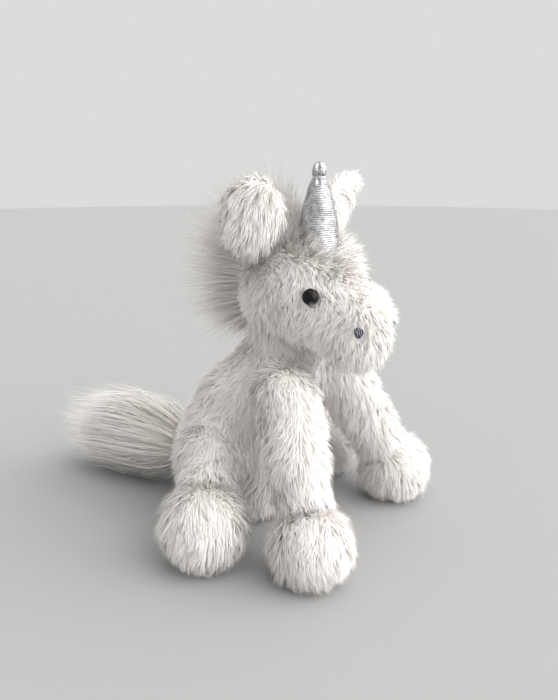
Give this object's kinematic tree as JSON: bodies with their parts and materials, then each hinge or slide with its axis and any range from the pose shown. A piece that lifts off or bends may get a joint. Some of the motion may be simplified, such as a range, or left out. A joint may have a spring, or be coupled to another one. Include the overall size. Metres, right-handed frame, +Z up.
{
  "type": "plush unicorn",
  "caption": "Seated cream plush unicorn with shaggy pile, long-pile mane and tail, a silver fabric horn, bead eyes and stitched nostrils, on jointed stuffed limbs.",
  "frame": {"origin": "on the ground plane, under the middle of the bounding box, with the seat, the feet and the tail resting on or above it", "axes": "+Z up; the toy faces -Y; its left side is +X and its tail points along +Y"},
  "size_m": [0.209, 0.2796, 0.2345],
  "materials": {
    "pile_fabric": "shaggy cream-white polyester pile, 8 to 12 mm long",
    "long_pile": "straight fine long pile, 25 to 85 mm long",
    "filling": "loose polyester fibre",
    "bean_pouch": "plain cotton pouch of plastic beans",
    "silver_lame": "metallic silver fabric with fine cross ridges",
    "eye_plastic": "polished black",
    "washer_plastic": "plain moulded",
    "navy_thread": "satin-stitched embroidery thread",
    "silver_thread": "wound metallic thread"
  },
  "bodies": {
    "torso": {"torso_cover": "pile_fabric", "torso_stuffing": "filling", "seat_bean_bag": "bean_pouch"},
    "neck": {"neck_cover": "pile_fabric", "neck_stuffing": "filling"},
    "head": {"head_cover": "pile_fabric", "head_stuffing": "filling", "horn_cover": "silver_lame", "horn_stuffing": "filling", "horn_tip_binding": "silver_thread", "mane_backing": "pile_fabric", "mane_pile": "long_pile", "eye_right": "eye_plastic", "eye_left": "eye_plastic", "eye_washer_right": "washer_plastic", "eye_washer_left": "washer_plastic", "nostril_stitch_right": "navy_thread", "nostril_stitch_left": "navy_thread"},
    "tail": {"tail_tab": "pile_fabric", "tail_pile": "long_pile"},
    "ear_right": {"ear_right_back": "pile_fabric", "ear_right_lining": "pile_fabric"},
    "foreleg_right": {"foreleg_right_cover": "pile_fabric", "foreleg_right_stuffing": "filling", "foreleg_right_foot_cover": "pile_fabric", "foreleg_right_foot_beans": "bean_pouch"},
    "hindleg_right": {"hindleg_right_cover": "pile_fabric", "hindleg_right_stuffing": "filling", "hindleg_right_foot_cover": "pile_fabric", "hindleg_right_foot_beans": "bean_pouch"},
    "ear_left": {"ear_left_back": "pile_fabric", "ear_left_lining": "pile_fabric"},
    "foreleg_left": {"foreleg_left_cover": "pile_fabric", "foreleg_left_stuffing": "filling", "foreleg_left_foot_cover": "pile_fabric", "foreleg_left_foot_beans": "bean_pouch"},
    "hindleg_left": {"hindleg_left_cover": "pile_fabric", "hindleg_left_stuffing": "filling", "hindleg_left_foot_cover": "pile_fabric", "hindleg_left_foot_beans": "bean_pouch"}
  },
  "joints": [
    {"name": "neck_turn", "type": "hinge", "parent": "torso", "child": "neck", "pos_m": [0, -0.06525, 0.126], "axis": [0, 0, 1], "range_deg": [-18, 42], "stiffness_Nm_per_rad": 0.35},
    {"name": "head_nod", "type": "hinge", "parent": "neck", "child": "head", "pos_m": [0, -0.06525, 0.126], "axis": [0.9781, -0.2079, 0], "range_deg": [-6, 8], "stiffness_Nm_per_rad": 0.9},
    {"name": "tail_swing", "type": "hinge", "parent": "torso", "child": "tail", "pos_m": [0, 0.01575, 0.034], "axis": [0, 0, 1], "range_deg": [-35, 35], "stiffness_Nm_per_rad": 0.08},
    {"name": "ear_right_flop", "type": "hinge", "parent": "head", "child": "ear_right", "pos_m": [-0.0249, -0.06456, 0.1845], "axis": [-0.2079, -0.9781, 0], "range_deg": [-15, 45], "stiffness_Nm_per_rad": 0.04},
    {"name": "foreleg_right_swing", "type": "hinge", "parent": "torso", "child": "foreleg_right", "pos_m": [-0.036, -0.08325, 0.098], "axis": [1, 0, 0], "range_deg": [-75, 12], "stiffness_Nm_per_rad": 0.25},
    {"name": "hindleg_right_swing", "type": "hinge", "parent": "torso", "child": "hindleg_right", "pos_m": [-0.043, -0.03225, 0.054], "axis": [1, 0, 0], "range_deg": [-40, 18], "stiffness_Nm_per_rad": 0.25},
    {"name": "ear_left_flop", "type": "hinge", "parent": "head", "child": "ear_left", "pos_m": [0.02303, -0.07475, 0.1845], "axis": [0.2079, 0.9781, 0], "range_deg": [-15, 45], "stiffness_Nm_per_rad": 0.04},
    {"name": "foreleg_left_swing", "type": "hinge", "parent": "torso", "child": "foreleg_left", "pos_m": [0.036, -0.08325, 0.098], "axis": [1, 0, 0], "range_deg": [-75, 12], "stiffness_Nm_per_rad": 0.25},
    {"name": "hindleg_left_swing", "type": "hinge", "parent": "torso", "child": "hindleg_left", "pos_m": [0.043, -0.03225, 0.054], "axis": [1, 0, 0], "range_deg": [-40, 18], "stiffness_Nm_per_rad": 0.25}
  ]
}
